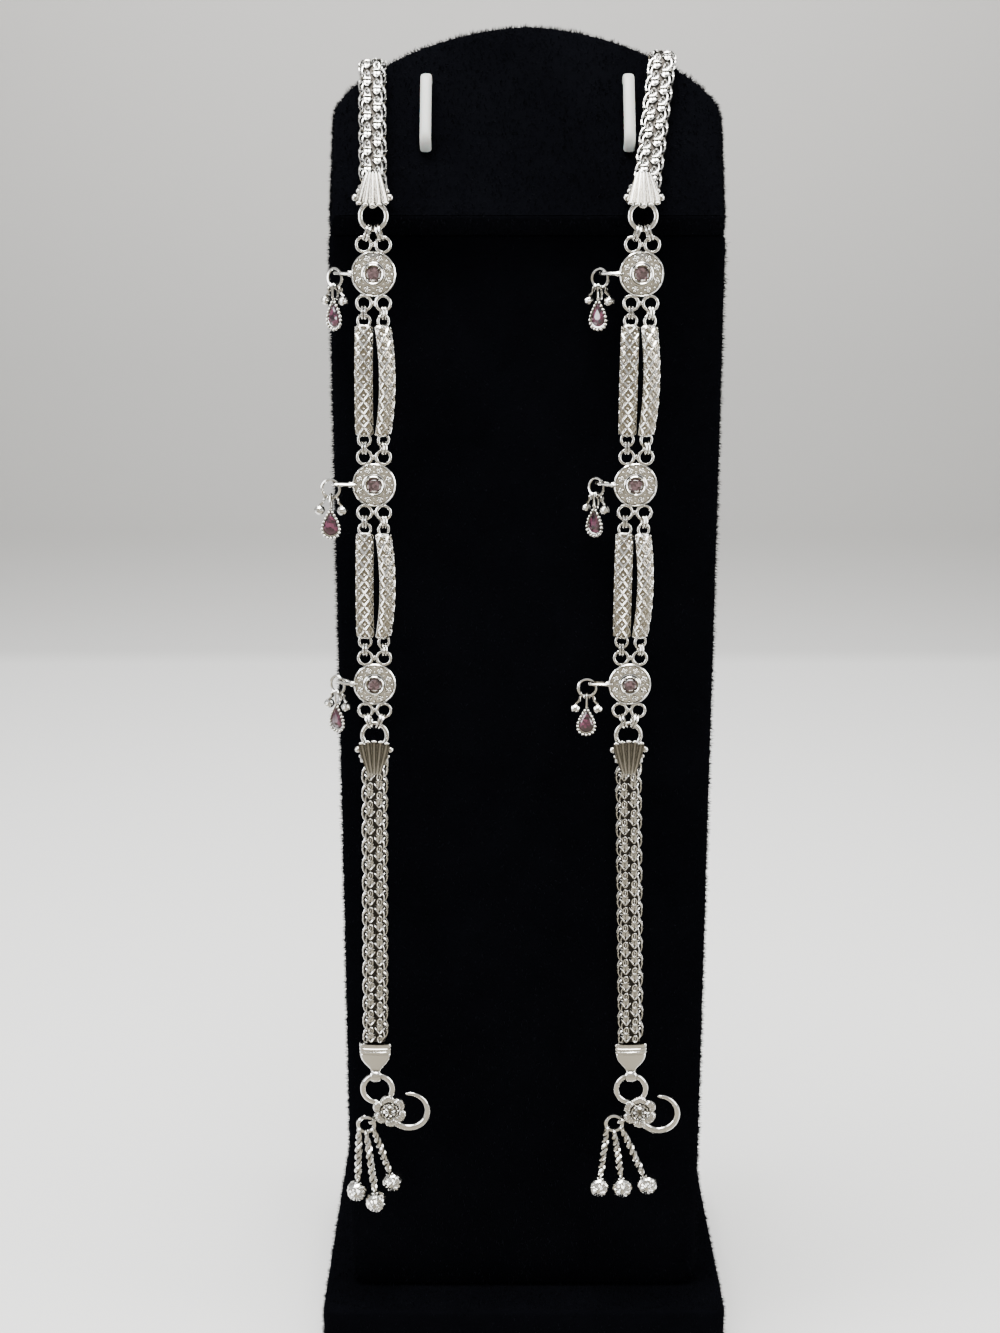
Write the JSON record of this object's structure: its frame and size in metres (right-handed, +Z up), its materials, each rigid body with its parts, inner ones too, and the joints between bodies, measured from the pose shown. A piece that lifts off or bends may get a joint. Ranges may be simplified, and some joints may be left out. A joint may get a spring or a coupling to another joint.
{
  "type": "pair of payal anklets on display stand",
  "caption": "Pair of payal anklets with woven chains, floret medallions, bowed bars, stone drops and tassels, hung over an arched velvet stand.",
  "frame": {"origin": "centre of the base plate's underside", "axes": "+Z up, the anklets' front towards -Y, +X to the viewer's right"},
  "size_m": [0.089, 0.0756, 0.2838],
  "materials": {
    "velvet": "short-pile black velvet",
    "staple": "white, lightly glossy",
    "silver": "polished silver",
    "cast_silver": "cast silver, polished, darker in the recesses",
    "stone": "faceted plum stone in a milled silver setting"
  },
  "bodies": {
    "root": {"stand_base": "velvet", "stand_board": "velvet", "stand_panel": "velvet", "stand_left_hook": "staple", "stand_right_hook": "staple", "left_upper_chain": "silver", "left_rear_end_cap": "silver", "left_rear_eye_ring": "silver", "left_upper_shell_cap": "silver", "left_upper_shell_ring": "silver", "left_upper_link_pair": "silver", "left_medallion_1": "cast_silver", "left_bar_1_a": "cast_silver", "left_bar_1_b": "cast_silver", "left_medallion_2": "cast_silver", "left_bar_2_a": "cast_silver", "left_bar_2_b": "cast_silver", "left_medallion_3": "cast_silver", "left_lower_link_pair": "silver", "left_lower_shell_ring": "silver", "left_lower_shell_cap": "silver", "left_lower_chain": "silver", "left_front_end_cap": "silver", "left_clasp": "silver", "left_tassel": "silver", "left_charm_1": "silver", "left_charm_2": "silver", "left_charm_3": "silver", "left_pear_drop_1": "stone", "left_pear_drop_2": "stone", "left_pear_drop_3": "stone", "right_upper_chain": "silver", "right_rear_end_cap": "silver", "right_rear_eye_ring": "silver", "right_upper_shell_cap": "silver", "right_upper_shell_ring": "silver", "right_upper_link_pair": "silver", "right_medallion_1": "cast_silver", "right_bar_1_a": "cast_silver", "right_bar_1_b": "cast_silver", "right_medallion_2": "cast_silver", "right_bar_2_a": "cast_silver", "right_bar_2_b": "cast_silver", "right_medallion_3": "cast_silver", "right_lower_link_pair": "silver", "right_lower_shell_ring": "silver", "right_lower_shell_cap": "silver", "right_lower_chain": "silver", "right_front_end_cap": "silver", "right_clasp": "silver", "right_tassel": "silver", "right_charm_1": "silver", "right_charm_2": "silver", "right_charm_3": "silver", "right_pear_drop_1": "stone", "right_pear_drop_2": "stone", "right_pear_drop_3": "stone"}
  },
  "joints": []
}
